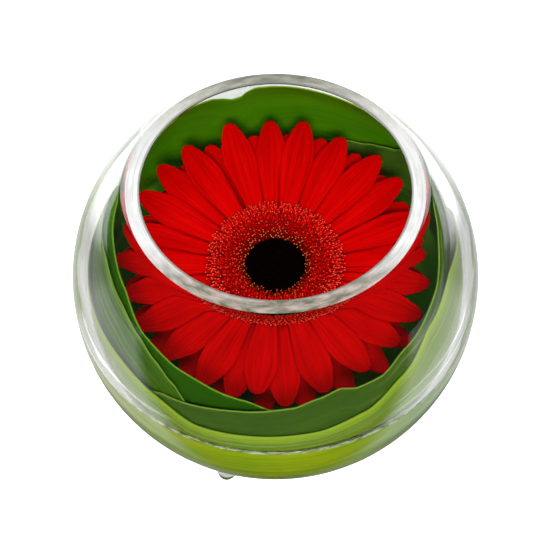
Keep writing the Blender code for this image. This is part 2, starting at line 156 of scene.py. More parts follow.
FLORET_SUNK = 0.0010
FLORET_THICK = 0.00034
FLORET_THICKER = 0.00006
FLORET_SHAPE = ((0.0, 0.9), (0.35, 0.8), (0.65, 0.9), (0.85, 0.9), (1.0, 0.35))
CUSHION_INSET = 0.0006
CUSHION_SUNK = 0.0008
CUSHION_STEPS = 14
GOLDEN_ANGLE = math.radians(137.508)
DISC_RADIUS = 0.0114
DISC_BOTTOM = 0.0006
DISC_EDGE = 0.0009
DISC_BULGE = 0.0014
DISC_SUNK = 0.0003
BUD_COUNT = 420
BUD_MARGIN = 0.0004
BUD_SIZE = (0.00033, 0.00033, 0.0006)
BUD_LEAN = 0.6
CUP_RADIUS = 0.0105
CUP_TOP = HUB_BOTTOM - CLEARANCE
CUP_BOTTOM = -0.0132
CUP_SHAPE = ((1.0, 0.0), (0.99, 0.001), (0.93, 0.0025), (0.80, 0.0045), (0.62, 0.0063), (0.46, 0.0077))
BRACT_COUNT = 32
BRACT_LENGTH = 0.0085
BRACT_HALF_WIDTH = 0.00135
BRACT_DROP = 0.0075
BRACT_ROW_DROP = 0.0012
STEM_RADIUS = 0.0029
STEM_END = Vector((0.001, 0.0085, FLOOR_Z + 0.0007))
STEM_PULL = 0.016
STEM_STEPS = 24
SEED = 11

# A whorl of rays: half a ray's width, its slope, how much its end rises, how low it starts, and the
# first number that its rays carry
Whorl = namedtuple("Whorl", "half_width slope rise drop mark")
UPPER = Whorl(0.0061, math.radians(7.5), 0.0036, 0.0004, 0.0)
LOWER = Whorl(0.0060, math.radians(5.0), 0.0010, 0.0024, 20.0)

# Finishes. A pattern's scale counts its features per metre in each of three directions
GLASS_IOR = 1.5
GLASS_SHADOW = (0.96, 0.97, 0.96)
GLASS_WAVES = (28.0, 28.0, 44.8)
WATER_IOR = 1.33
WATER_SHADOW = (0.97, 0.98, 0.97)
WATER_WAVES = (45.0, 45.0, 45.0)
# Flecks of the painted white highlight on the water's edge
WATER_EDGE_HIGHLIGHTS = (260.0, 260.0, 700.0)
LEAF_VEINS = (18.0, 900.0, 0.0)
LEAF_BANDS = (7.0, 160.0, 0.0)
LEAF_BLOTCHES = (30.0, 60.0, 0.0)
LEAF_STREAKS = (9.0, 330.0, 0.0)
LEAF_LINES = (5.0, 0.0, 620.0)
MARGIN_UNEVEN = (90.0, 0.0, 0.0)
STREAK_COLOUR = (0.42, 0.54, 0.14)
# Painted light on the leaves' inward faces, where they lie in shade
INWARD_PAINTED_LIGHT = (0.30, 0.62, 0.05)
LINE_COLOUR = (0.40, 0.50, 0.22)
EYE_GRAIN = (900.0, 900.0, 900.0)
STEM_STREAKS = (600.0, 600.0, 30.0)
TABLE_CLOUDS = (6.0, 6.0, 6.0)
# Painted shade of the table under the bowl, where glass shows it
UNDER_BOWL_SHADE_COLOUR = (0.03, 0.06, 0.02)

# The rim's mottle and lines by angle round it and metres out, and its colours from front to back,
# painted reflection and shade: white at the sides, grey at the back, a dark green and pinkish grey
# mottle in front
RIM_MOTTLE = (7.0, 420.0, 0.0)
RIM_LINES = (1.2, 1700.0, 0.0)
RIM_PALE = ((0.0, (0.40, 0.36, 0.32)), (0.10, (0.52, 0.45, 0.43)), (0.26, 0.78), (0.70, 0.78),
            (0.86, (0.62, 0.62, 0.57)), (1.0, (0.30, 0.30, 0.24)))
RIM_DARK = ((0.0, (0.09, 0.12, 0.07)), (0.10, (0.18, 0.19, 0.14)), (0.26, (0.66, 0.67, 0.66)),
            (0.70, (0.70, 0.71, 0.70)), (0.86, (0.46, 0.46, 0.42)), (1.0, (0.14, 0.14, 0.11)))
RIM_LINE_COLOUR = (0.34, 0.36, 0.33)
RIM_INNER_COLOUR = (0.16, 0.17, 0.15)

# Patterns of the rays by shares of their length and width, and the bloom's reds
RAY_LINES = (1.2, 7.0, 31.0)
RAY_PATCHES = (2.5, 1.2, 17.0)
RAY_REDS = ((0.34, (0.37, 0.0, 0.0)), (0.52, (0.53, 0.0, 0.0)), (0.68, (0.63, 0.001, 0.001)))
# The lower whorl's brighter red is painted light, and the gap red is painted shade where the rays
# overlap
LOWER_PAINTED_LIGHT_RED = (0.70, 0.001, 0.001)
ROOT_RED = (0.29, 0.0, 0.0)
GAP_PAINTED_SHADE_RED = (0.06, 0.0, 0.0)
FLORET_REDS = ((0.0, (0.20, 0.0, 0.0)), (0.15, (0.42, 0.0, 0.0)), (1.0, (0.66, 0.003, 0.001)))
OUTER_FLORET_RED = (0.80, 0.006, 0.002)
NEAR_EYE_RED = (0.05, 0.003, 0.0)
PALE_TIP_SHARE = ((0.05, 0.65), (0.30, 0.25), (0.70, 0.75), (1.0, 0.95))
TIP_COLOURS = ((0.0, (0.80, 0.22, 0.05)), (0.30, (0.85, 0.10, 0.03)), (0.60, (0.97, 0.17, 0.09)),
               (1.0, (1.0, 0.26, 0.17)))

# Stage
TABLE_CORNERS = ((0.45, 0.60), (-0.45, 0.60), (-0.45, -0.35), (0.45, -0.35))
TABLE_ROUND = 0.10
TABLE_GAP = 0.0002
TABLE_GLOW = 0.75
TABLE_GLOW_IN_GLASS = 0.1

# The table as the bowl mirrors it, a painted reflection: its brightness, where it begins, the dark zone
# of painted shade near the bowl and the bright line of painted highlight round it
TABLE_MIRRORED = 0.85
MIRRORED_FRONT = -0.050
MIRRORED_LEAN = 0.3
NEAR_BOWL = 0.078
NEAR_BOWL_DARK = 0.75
SIDE_DIM = 0.55
BACK_GAIN = 1.2
GLINT_RADIUS = 0.119
GLINT_WIDTH = 0.003
GLINT_SHIFT = 0.012
GLINT_STRETCH = 0.85
GLINT_STRENGTH = 1.3

# The room, and each lamp's place, width and power
ROOM_LIGHT = 0.75
ROOM_MIRRORED = 0.02
ROOM_SEEN = 1.0
FRONT_LAMP = ((0.0, -0.62, 0.68), 0.2, 5.4)
TOP_LAMP = ((0.0, 0.10, 0.80), 0.6, 1.5)
LIGHT_BOUNCES = 32

# Camera, as the photograph's outline of the ball and the rim's ellipse give it
IMAGE_SIZE = 550.0
CAMERA_DISTANCE = 0.450
CAMERA_ELEVATION = math.radians(56.47)
FOCAL_PIXELS = 1205.0
SENSOR_WIDTH = 36.0
BALL_CENTRE_PIXEL = (275.5, 276.5)

# A broad leaf laid round the wall: its two ends and lower edge in degrees, how many degrees its ends
# narrow over, how far it stands in from the wall in layers, and its upper edge
Leaf = namedtuple("Leaf", "name start end low taper layers edge")

# Azimuths in degrees from the front, positive to the right; upper edges in mm above the centre
LEAVES = (
    Leaf("leaf_outer", -136, 112, -60, (70, 60), ((0, 0),),
         ((-136, 10), (-115, 19), (-85, 18), (-50, 16.5), (-35, 14), (-22, 9), (-5, 9.5), (12, 9.8),
          (26, 13.5), (38, 21), (52, 30), (70, 34), (95, 30), (112, 14))),
    Leaf("leaf_right", -60, 166, -61, (75, 55), ((50, 0.65), (90, 2.2)),
         ((-60, -8), (-33, 15.7), (-10, 20), (5, 21.8), (12, 24.2), (19, 26.2), (24, 24.4), (32, 24.6),
          (41, 29), (60, 34), (80, 38.5), (104, 41), (118, 36), (130, 25), (136.5, 17.5), (144, 12.8),
          (150, 9), (157, 7), (166, 2))),
    Leaf("leaf_left", -104, -8, -59, (62, 75), ((0, 1.4),),
         ((-104, 26), (-93, 33), (-75, 34.5), (-58, 32.5), (-46, 29), (-38, 25.5), (-31, 21),
          (-24, 13), (-8, -8))),
    Leaf("leaf_inner", -265, 16, -57, (60, 60),
         ((-247, 1), (-232, 0.2), (-143, 0.2), (-135, 1), (-118, 2.2)),
         ((-265, 20), (-250, 38), (-238, 44), (-215, 46.5), (-187, 46), (-180, 44), (-173, 42),
          (-170, 36.5), (-168, 30.5), (-165, 29.5), (-160, 34), (-156, 38), (-151, 39.5), (-142, 43.5),
          (-128, 44), (-112, 42.5), (-98, 41), (-80, 38), (-61, 35.5), (-45, 29.5), (-29, 26.3),
          (-9, 22), (0, 18), (16, 2))),
)

# A leaf's colours: dark and light of the blade, its margin, and, where they differ, the tint of its
# front half and the colours that it turns to above the water and to the right below it
LeafLook = namedtuple("LeafLook", "slot deep light margin margin_width streak front dry right",
                      defaults=(0.0, None, None, None))
LEAF_LOOKS = {
    "leaf_outer": LeafLook("lime_leaf", (0.19, 0.42, 0.0), (0.68, 0.74, 0.001), (0.30, 0.44, 0.03),
                           0.0042, streak=0.12, dry=(0.145, 0.275, 0.015), right=(0.15, 0.38, 0.01)),
    "leaf_right": LeafLook("green_leaf", (0.050, 0.125, 0.006), (0.105, 0.215, 0.014),
                           (0.22, 0.36, 0.04), 0.0003, streak=0.6, front=(0.74, 0.76, 1.0)),
    "leaf_left": LeafLook("green_leaf", (0.042, 0.135, 0.001), (0.095, 0.235, 0.003),
                          (0.22, 0.36, 0.04), 0.0003, streak=0.3, front=(0.8, 0.82, 1.0)),
    "leaf_inner": LeafLook("green_leaf", (0.054, 0.220, 0.0), (0.112, 0.330, 0.0),
                           (0.20, 0.34, 0.02), 0.0003, front=(0.27, 0.38, 1.0)),
}

# How wide a ray is along its length: share of the length, share of the greatest width
RAY_OUTLINE = ((0, 0.30), (0.31, 0.62), (0.55, 0.88), (0.70, 1.0), (0.80, 0.92), (0.90, 0.68),
               (0.96, 0.46), (1.0, 0.26))

# Each ray: its angle in degrees from the right, its tip in mm from the middle of the flower,
# and 1 where it lies a little under its neighbours
UPPER_RAYS = (
    (0.5, 54.7, 1), (16, 56.5, 0), (34, 56.8, 1), (46.5, 56.9, 0), (63, 56.5, 1), (79, 57.7, 0),
    (92, 57.7, 1), (108, 58.5, 0), (127, 57.1, 0), (139.5, 57.8, 1), (153.5, 56.4, 0), (169, 56, 1),
    (182.5, 58.2, 0), (196.5, 56.3, 1), (211, 56.6, 0), (226, 55.5, 1), (243, 56.7, 0),
    (254.5, 56.5, 1), (263, 53.9, 0), (273.5, 57.9, 1), (288, 55.8, 0), (305, 55.1, 0),
    (321, 55.3, 1), (334, 56.9, 0), (348, 56.4, 1),
)
LOWER_RAYS = (
    (9.5, 55, 0), (26, 55.5, 1), (40.5, 55.5, 0), (55.5, 56.8, 1), (71, 56.3, 0), (84.5, 56.3, 1),
    (99, 55.3, 0), (117, 57, 1), (132, 54.5, 0), (146, 53, 1), (161, 53.7, 0), (176, 56.5, 1),
    (190.5, 55.2, 0), (204.5, 56, 1), (218.5, 56.5, 0), (233.5, 56, 1), (249, 55.2, 0),
    (266, 57.7, 1), (281, 57.7, 0), (297, 57.4, 1), (312, 57.7, 0), (326, 57.5, 1), (340, 51, 0),
    (354, 54.4, 1),
)


class Graph:
    """A short way to write a material's nodes."""

    def __init__(self, name, **settings):
        self.material = bpy.data.materials.new(name)
        self.material.use_nodes = True
        self.tree = self.material.node_tree
        self.shader = self.tree.nodes["Principled BSDF"]
        for socket, value in settings.items():
            self.shader.inputs[socket.replace("_", " ")].default_value = value

    def node(self, kind, **settings):
        made = self.tree.nodes.new(kind)
        for name, value in settings.items():
            setattr(made, name, value)
        return made

    def link(self, source, target):
        self.tree.links.new(source, target)

    def feed(self, values, sockets):
        """Link each value that is a socket, and set each that is a number or a colour."""
        for value, socket in zip(values, sockets):
            if isinstance(value, bpy.types.NodeSocket):
                self.link(value, socket)
            elif isinstance(value, tuple):
                socket.default_value = (*value, 1.0)
            else:
                socket.default_value = value

    def object_place(self):
        return self.node("ShaderNodeTexCoord").outputs["Object"]

    def attribute(self, name):
        return self.node("ShaderNodeAttribute", attribute_name=name).outputs["Vector"]

    def split(self, vector):
        parts = self.node("ShaderNodeSeparateXYZ")
        self.link(vector, parts.inputs[0])
        return parts.outputs

    def mapped(self, vector, scale, shift=(0.0, 0.0, 0.0)):
        mapping = self.node("ShaderNodeMapping")
        mapping.inputs["Location"].default_value = shift
        mapping.inputs["Scale"].default_value = scale
        self.link(vector, mapping.inputs["Vector"])
        return mapping.outputs["Vector"]

    def noise(self, vector, scale, detail=3.0, roughness=0.55):
        noise = self.node("ShaderNodeTexNoise")
        noise.inputs["Scale"].default_value = 1.0
        noise.inputs["Detail"].default_value = detail
        noise.inputs["Roughness"].default_value = roughness
        self.link(self.mapped(vector, scale), noise.inputs["Vector"])
        return noise.outputs["Fac"]

    def ramp(self, factor, stops):
        """Colours between stops of (place, colour); a plain number for the colour is a grey."""
        ramp = self.node("ShaderNodeValToRGB")
        elements = ramp.color_ramp.elements
        while len(elements) < len(stops):
            elements.new(1.0)
        for element, (place, colour) in zip(elements, stops):
            element.position = place
            element.color = (*colour, 1.0) if isinstance(colour, tuple) else (*(colour,) * 3, 1.0)
        self.link(factor, ramp.inputs["Fac"])
        return ramp.outputs["Color"]

    def rise(self, value, start, end, top=1.0):
        """0 before start and top past end, eased; start may be the larger."""
        made = self.node("ShaderNodeMapRange", interpolation_type="SMOOTHSTEP")
        made.inputs["From Min"].default_value = start
        made.inputs["From Max"].default_value = end
        made.inputs["To Max"].default_value = top
        self.link(value, made.inputs["Value"])
        return made.outputs[0]

    def mix(self, factor, first, second, blend="MIX"):
        mix = self.node("ShaderNodeMix", data_type="RGBA", blend_type=blend)
        self.feed((factor, first, second), (mix.inputs[0], mix.inputs[6], mix.inputs[7]))
        return mix.outputs[2]

    def maths(self, operation, first, second=0.0):
        made = self.node("ShaderNodeMath", operation=operation)
        self.feed((first, second), made.inputs)
        return made.outputs[0]

    def plus(self, first, second):
        return self.maths("ADD", first, second)

    def times(self, first, second):
        return self.maths("MULTIPLY", first, second)

    def rest(self, share):
        return self.maths("SUBTRACT", 1.0, share)

    def length(self, vector):
        made = self.node("ShaderNodeVectorMath", operation="LENGTH")
        self.link(vector, made.inputs[0])
        return made.outputs["Value"]

    def bump(self, height, strength, distance):
        bump = self.node("ShaderNodeBump")
        bump.inputs["Strength"].default_value = strength
        bump.inputs["Distance"].default_value = distance
        self.link(height, bump.inputs["Height"])
        self.link(bump.outputs["Normal"], self.shader.inputs["Normal"])

    def colour(self, socket):
        self.link(socket, self.shader.inputs["Base Color"])

    def glow(self, strength):
        glow = self.node("ShaderNodeEmission")
        self.link(strength, glow.inputs["Strength"])
        return glow.outputs[0]

    def surface(self, share, first, second):
        """Show the second shader for its share, and the first one for the rest."""
        mix = self.node("ShaderNodeMixShader")
        self.feed((share, first, second), mix.inputs)
        self.link(mix.outputs[0], self.tree.nodes["Material Output"].inputs["Surface"])

    def clear_to_shadow_rays(self, tint):
        """Light from the lamps passes through, dimmed only by the tint."""
        clear = self.node("ShaderNodeBsdfTransparent")
        clear.inputs["Color"].default_value = (*tint, 1.0)
        path = self.node("ShaderNodeLightPath")
        self.surface(path.outputs["Is Shadow Ray"], self.shader.outputs[0], clear.outputs[0])


def patterned(name, scale, detail, colours, bump, **settings):
    """The graph of a material with one pattern, which shades its colour and ripples its surface."""
    graph = Graph(name, **settings)
    pattern = graph.noise(graph.object_place(), scale, detail=detail)
    graph.colour(graph.ramp(pattern, colours))
    graph.bump(pattern, *bump)
    return graph


def clear_material(name, ior, waves, tints, bump, shadow):
    """Clear glass or water with faint waves; shadow is the tint of the light that passes it."""
    graph = patterned(name, waves, 1.0, tints, bump, Roughness=0.0, IOR=ior,
                      Transmission_Weight=1.0, Specular_IOR_Level=0.3)
    graph.clear_to_shadow_rays(shadow)
    return graph.material


def glass_material():
    tints = ((0.3, (0.925, 0.94, 0.935)), (0.7, (0.955, 0.96, 0.955)))
    return clear_material("clear_glass", GLASS_IOR, GLASS_WAVES, tints, (0.25, 0.0008), GLASS_SHADOW)


def rim_material():
    """The rim's cut face, its colour painted reflection and shade: white at the sides, grey at the back,
    and in front a mottle of dark green and pinkish grey for what the clear glass reflects and shows
    through it.
    """
    graph = Graph("rim_glass", Roughness=0.12, IOR=GLASS_IOR, Transmission_Weight=0.15,
                  Specular_IOR_Level=0.3)
    place = graph.object_place()
    x, y = graph.split(place)[:2]
    out = graph.length(graph.mapped(place, (1.0, 1.0, 0.0)))
    back = graph.node("ShaderNodeMapRange")
    graph.feed((y, -RIM_RADIUS, RIM_RADIUS), back.inputs)
    round_rim = graph.node("ShaderNodeCombineXYZ")
    graph.feed((graph.maths("ARCTAN2", x, y), out), round_rim.inputs)
    mottle = graph.noise(round_rim.outputs[0], RIM_MOTTLE)
    # Painted reflection and shade: both ramps run from the rim's front to its back
    pale = graph.ramp(back.outputs[0], RIM_PALE)
    dark = graph.ramp(back.outputs[0], RIM_DARK)
    face = graph.mix(graph.ramp(mottle, ((0.38, 0.0), (0.64, 1.0))), dark, pale)
    fine = graph.noise(round_rim.outputs[0], RIM_LINES, detail=2.0)
    face = graph.mix(graph.rise(fine, 0.52, 0.66, 0.35), face, RIM_LINE_COLOUR)
    inner = RIM_RADIUS - RIM_WIDTH + RIM_GREY_LINE
    graph.colour(graph.mix(graph.rise(out, inner + 0.0004, inner - 0.0002, 0.7), face, RIM_INNER_COLOUR))
    graph.clear_to_shadow_rays(GLASS_SHADOW)
    return graph.material


def water_material():
    tints = ((0.3, (0.96, 0.985, 0.97)), (0.7, (0.98, 0.99, 0.985)))
    return clear_material("water", WATER_IOR, WATER_WAVES, tints, (0.15, 0.0004), WATER_SHADOW)


def meniscus_material():
    """The water's edge where it climbs the glass: a painted white highlight, broken into flecks over
    dull green.
    """
    graph = Graph("water_edge", Roughness=0.2, IOR=WATER_IOR, Transmission_Weight=0.4,
                  Specular_IOR_Level=0.3)
    edge_highlights = graph.noise(graph.object_place(), WATER_EDGE_HIGHLIGHTS, roughness=0.65)
    graph.colour(graph.ramp(edge_highlights, ((0.42, (0.24, 0.31, 0.14)), (0.53, (0.62, 0.68, 0.54)),
                                    (0.63, (0.95, 0.95, 0.93)))))
    graph.clear_to_shadow_rays(WATER_SHADOW)
    return graph.material


class LeafPlace:
    """Where a point of a leaf is: its metres along the leaf from the front, in from the upper edge and
    up from the table, and 1 where it is in the front half or on the face that looks inward."""

    def __init__(self, graph):
        self.vector = graph.attribute("leaf_place")
        parts = graph.split(self.vector)
        self.along = parts[0]
        self.inward = parts[2]
        self.aside = graph.maths("ABSOLUTE", self.along)
        self.in_front = graph.rise(self.aside, 0.115, 0.085)
        place = graph.object_place()
        self.height = graph.split(place)[2]
        facing = graph.node("ShaderNodeVectorMath", operation="DOT_PRODUCT")
        normal = graph.node("ShaderNodeNewGeometry").outputs["Normal"]
        graph.feed((graph.mapped(place, (1.0, 1.0, 0.0)), normal), facing.inputs)
        self.inside = graph.rise(facing.outputs["Value"], 0.0, -0.01)


def tint_by_place(graph, at, blade, blotch, look):
    """The front half's tint, and the colours above the water and to the right below it."""
    if look.front:
        blade = graph.mix(at.in_front, blade, look.front, "MULTIPLY")
    # Darker and duller above the water line
    if look.dry:
        dry = graph.rise(at.height, WATER_LEVEL - 0.001, WATER_LEVEL + 0.003, 0.8)
        blade = graph.mix(dry, blade, look.dry)
    if look.right:
        wet = graph.rise(at.height, WATER_LEVEL + 0.001, WATER_LEVEL - 0.001)
        patchy = graph.plus(at.along, graph.times(blotch, 0.04))
        right = graph.rise(patchy, 0.035, 0.080, 0.8)
        blade = graph.mix(graph.times(wet, right), blade, look.right)
    return blade


def paint_light_on_inward_face(graph, at, blade):
    """Painted light: the inward face is brighter low in the bowl and at the front sides, where it lies
    in shade.
    """
    low = graph.rise(at.height, CENTRE_HEIGHT - 0.003, CENTRE_HEIGHT - 0.010, 0.85)
    low = graph.maths("MAXIMUM", low, graph.rise(at.aside, 0.125, 0.105, 0.6))
    return graph.mix(graph.times(at.inside, low), blade, INWARD_PAINTED_LIGHT)


def add_streaks(graph, at, blade, look):
    """Pale streaks toward the sides, and fine pale lines above the water on the outer leaf."""
    streaks = graph.ramp(graph.noise(at.vector, LEAF_STREAKS, roughness=0.6),
                         ((0.46, 0.0), (0.62, 1.0)))
    streaks = graph.times(streaks, graph.rise(at.aside, 0.025, 0.065, look.streak))
    blade = graph.mix(graph.times(streaks, at.in_front), blade, STREAK_COLOUR)
    if look.dry:
        lines = graph.noise(at.vector, LEAF_LINES, detail=2.0)
        above = graph.rise(at.height, WATER_LEVEL, WATER_LEVEL + 0.001)
        blade = graph.mix(graph.times(graph.rise(lines, 0.52, 0.60, 0.55), above), blade, LINE_COLOUR)
    return blade


def add_margin(graph, at, blade, look):
    """The pale line along the upper edge, a little uneven in width."""
    uneven = graph.noise(at.vector, MARGIN_UNEVEN, detail=2.0)
    inward = graph.plus(at.inward, graph.times(uneven, look.margin_width))
    edge = graph.rise(inward, look.margin_width * 1.55, look.margin_width * 1.25)
    return graph.mix(edge, blade, look.margin)


def leaf_material(name, look):
    """Green blade with fine parallel veins along it."""
    graph = Graph(name, Roughness=0.5, Specular_IOR_Level=0.2, Subsurface_Weight=0.5,
                  Subsurface_Scale=0.001, Subsurface_Radius=(0.6, 1.0, 0.15))
    at = LeafPlace(graph)
    veins = graph.noise(at.vector, LEAF_VEINS, roughness=0.6)
    bands = graph.noise(at.vector, LEAF_BANDS, detail=2.0)
    blotch = graph.noise(at.vector, LEAF_BLOTCHES)
    shade = graph.plus(graph.times(veins, 0.30), graph.times(bands, 0.38))
    shade = graph.plus(shade, graph.times(blotch, 0.32))
    blade = graph.ramp(shade, ((0.36, look.deep), (0.64, look.light)))
    blade = tint_by_place(graph, at, blade, blotch, look)
    # Painted light on the inward face
    blade = paint_light_on_inward_face(graph, at, blade)
    blade = add_streaks(graph, at, blade, look)
    graph.colour(add_margin(graph, at, blade, look))
    graph.bump(graph.plus(veins, bands), 0.35, 0.00025)
    return graph.material


def ray_material():
    """Velvety red with faint darker lines down each ray, painted shade along its sides toward the root
    where the rays overlap, and painted light that makes the lower whorl a brighter red.

    The attribute ray_place holds how far along the ray, how far across it, and its own number."""
    graph = Graph("red_ray", Roughness=0.7, Specular_IOR_Level=0.02)
    place = graph.attribute("ray_place")
    along, across, mark = graph.split(place)
    lines = graph.noise(place, RAY_LINES, roughness=0.6)
    patch = graph.noise(place, RAY_PATCHES, detail=2.0)
    shade = graph.plus(graph.times(lines, 0.6), graph.times(patch, 0.4))
    red = graph.ramp(shade, RAY_REDS)
    # Painted light: the lower whorl, which lies in shade under the upper one, is made a brighter red
    lower = graph.times(graph.maths("GREATER_THAN", mark, LOWER.mark - 0.5), 0.6)
    red = graph.mix(lower, red, LOWER_PAINTED_LIGHT_RED)
    red = graph.mix(graph.rise(along, 0.45, 0.0, 0.35), red, ROOT_RED)
    # Painted shade along each ray's sides toward the root, where the rays overlap
    side = graph.rise(graph.maths("ABSOLUTE", across), 0.80, 1.0, 0.9)
    gap_shade = graph.times(side, graph.rise(along, 0.75, 0.25))
    graph.colour(graph.mix(gap_shade, red, GAP_PAINTED_SHADE_RED))
    graph.bump(lines, 0.5, 0.0004)
    return graph.material


def floret_material():
    """Red florets whose tips fade to peach.

    The attribute floret_place holds how near the tip, how far out in the ring, and its own number."""
    graph = Graph("red_floret", Roughness=0.6, Specular_IOR_Level=0.05)
    near_tip, outward, mark = graph.split(graph.attribute("floret_place"))
    body = graph.ramp(mark, FLORET_REDS)
    body = graph.mix(graph.rise(outward, 0.55, 0.95, 0.3), body, OUTER_FLORET_RED)
    body = graph.mix(graph.rise(outward, 0.25, 0.04, 0.85), body, NEAR_EYE_RED)
    pale = graph.maths("LESS_THAN", mark, graph.ramp(outward, PALE_TIP_SHARE))
    at_tip = graph.times(graph.rise(near_tip, 0.86, 1.0), pale)
    graph.colour(graph.mix(at_tip, body, graph.ramp(outward, TIP_COLOURS)))
    return graph.material


def disc_material():
    shades = ((0.35, (0.0008, 0.0003, 0.0003)), (0.75, (0.004, 0.0006, 0.0006)))
    return patterned("dark_eye", EYE_GRAIN, 2.0, shades, (0.3, 0.0002), Roughness=0.8,
                     Specular_IOR_Level=0.01).material


def stem_material():
    shades = ((0.3, (0.10, 0.20, 0.03)), (0.7, (0.24, 0.38, 0.10)))
    return patterned("green_stem", STEM_STREAKS, 3.0, shades, (0.3, 0.0003), Roughness=0.5,
                     Specular_IOR_Level=0.3).material


def mirrored_table(graph, place):
    """A painted reflection: how bright the table glows for rays that the bowl mirrors, dark in front,
    with painted shade close to the bowl, a painted highlight line round it, a little dimmer far out at
    the sides and brighter behind."""
    x, y = graph.split(place)[:2]
    aside = graph.maths("ABSOLUTE", x)
    in_front = graph.rise(y, 0.03, 0.0)
    edge = graph.plus(y, graph.times(aside, MIRRORED_LEAN))
    pale = graph.rise(edge, MIRRORED_FRONT - 0.02, MIRRORED_FRONT, TABLE_MIRRORED - ROOM_MIRRORED)
    near = graph.rise(graph.length(place), NEAR_BOWL + 0.018, NEAR_BOWL, NEAR_BOWL_DARK)
    pale = graph.times(pale, graph.rest(graph.times(near, in_front)))
    far_out = graph.times(graph.rise(aside, 0.14, 0.20, SIDE_DIM), graph.rise(y, 0.0, 0.05))
    far_out = graph.times(far_out, graph.rise(y, 0.13, 0.10))
    pale = graph.times(pale, graph.rest(far_out))
    oval = graph.mapped(place, (1.0, GLINT_STRETCH, 0.0), (-GLINT_SHIFT, 0.0, 0.0))
    off_line = graph.maths("ABSOLUTE", graph.maths("SUBTRACT", graph.length(oval), GLINT_RADIUS))
    glint = graph.rise(off_line, GLINT_WIDTH, 0.3 * GLINT_WIDTH, GLINT_STRENGTH)
    more = graph.plus(graph.times(glint, in_front), graph.rise(y, 0.09, 0.16, BACK_GAIN))
    return graph.plus(graph.times(pale, graph.plus(more, 1.0)), ROOM_MIRRORED)


def floor_material():
    """White, with a glow that keeps the shadow faint, painted shade under the bowl where glass shows it,
    and a painted reflection for the rays that the bowl mirrors.
    """
    graph = Graph("white_floor", Roughness=0.7, Specular_IOR_Level=0.2)
    place = graph.object_place()
    white = graph.ramp(graph.noise(place, TABLE_CLOUDS, 1.0), ((0.3, 0.93), (0.7, 0.94)))
    path = graph.node("ShaderNodeLightPath").outputs
    away = graph.rise(graph.length(place), 0.035, 0.055)
    # Painted shade: where glass shows the table under the bowl, it turns dark green and its glow is left
    # off
    shade_beneath = graph.times(path["Is Transmission Ray"], graph.rest(away))
    graph.colour(graph.mix(shade_beneath, white, UNDER_BOWL_SHADE_COLOUR))
    seen = graph.times(path["Is Camera Ray"], TABLE_GLOW)
    through = graph.times(graph.times(path["Is Transmission Ray"], TABLE_GLOW_IN_GLASS), away)
    bright = graph.node("ShaderNodeAddShader")
    graph.feed((graph.shader.outputs[0], graph.glow(graph.plus(seen, through))), bright.inputs)
    # Painted reflection: only rays that the bowl mirrors see the table glow in this pattern
    mirrored = graph.glow(mirrored_table(graph, place))
    in_mirror = graph.maths("SUBTRACT", graph.maths("MINIMUM", path["Glossy Depth"], 1.0),
                            graph.maths("MINIMUM", path["Diffuse Depth"], 1.0))
    graph.surface(graph.maths("MAXIMUM", in_mirror, 0.0), bright.outputs[0], mirrored)
    return graph.material


def show(item):
    bpy.context.scene.collection.objects.link(item)


def mesh_object(name, bm):
    mesh = bpy.data.meshes.new(name)
    bm.to_mesh(mesh)
    bm.free()
    return bpy.data.objects.new(name, mesh)


def numbered_mesh(name):
    """An empty mesh whose vertices keep three numbers each for a material to read."""
    bm = bmesh.new()
    return bm, bm.verts.layers.float_vector.new(name)


def add_piece(name, bm, material, slot, *nodes):
    """A finished mesh as a piece that stands for CAD nodes."""
    item = mesh_object(name, bm)
    show(item)
    item.data.materials.append(material)
    item.data.shade_smooth()
    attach(item, BODY)
    if nodes:
        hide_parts(*nodes)
    return item


def add_solid(name, bm, material, slot, *nodes):
    """A piece with all its faces turned outward first."""
    bmesh.ops.recalc_face_normals(bm, faces=bm.faces)
    return add_piece(name, bm, material, slot, *nodes)


def sharpen(item, degrees):
    """Keep the shading crisp at edges that turn by more than so many degrees."""
    item.data.set_sharp_from_angle(angle=math.radians(degrees))


def wall_arc(lift, radius, start, end):
    """A ball's outline from one height to another; lift is how far its centre is above the bowl's."""
    first = math.asin((start - lift) / radius)
    last = math.asin((end - lift) / radius)
    points = []
    for i in range(BOWL_ARC_STEPS + 1):
        latitude = first + (last - first) * i / BOWL_ARC_STEPS
        points.append((radius * math.cos(latitude), lift + radius * math.sin(latitude)))
    return points


def quarter(steps, last):
    """The first angles of a quarter turn that is cut into equal steps."""
    return [math.pi / 2.0 * i / steps for i in range(1, last + 1)]


def compass(angle):
    """Two level unit vectors: one at the angle, and one square to it."""
    cos, sin = math.cos(angle), math.sin(angle)
    return Vector((cos, sin, 0.0)), Vector((-sin, cos, 0.0))


def turn_profile(bm, profile, steps, place):
    """Faces of a solid of revolution; profile points on the axis become single vertices."""
    rings = []
    for radius, height in profile:
        if radius < 1e-7:
            rings.append([bm.verts.new(place @ Vector((0.0, 0.0, height)))])
            continue
        ring = []
        for i in range(steps):
            angle = math.tau * i / steps
            spot = Vector((radius * math.cos(angle), radius * math.sin(angle), height))
            ring.append(bm.verts.new(place @ spot))
        rings.append(ring)
    for first, second in zip(rings, rings[1:]):
        for i in range(steps):
            corners = [first[i % len(first)], first[(i + 1) % len(first)],
                       second[(i + 1) % len(second)], second[i % len(second)]]
            unique = list(dict.fromkeys(corners))
            if len(unique) > 2:
                bm.faces.new(unique)
    return rings


def floor_corner(edge, floor):
    """The rounded corner from a floor, which is flat as far as edge, up to the wall."""
    return [(edge + FLOOR_CORNER * math.sin(lean), floor + FLOOR_CORNER * (1.0 - math.cos(lean)))
            for lean in quarter(6, 5)]


def rim_corner(side, turn):
    """The rounded edge from a wall to the flat cut face; turn is -1 inside and 1 outside."""
    return [(side + turn * RIM_ROUND * math.cos(lean), RIM_Z - RIM_ROUND * (1.0 - math.sin(lean)))
            for lean in quarter(4, 4)]


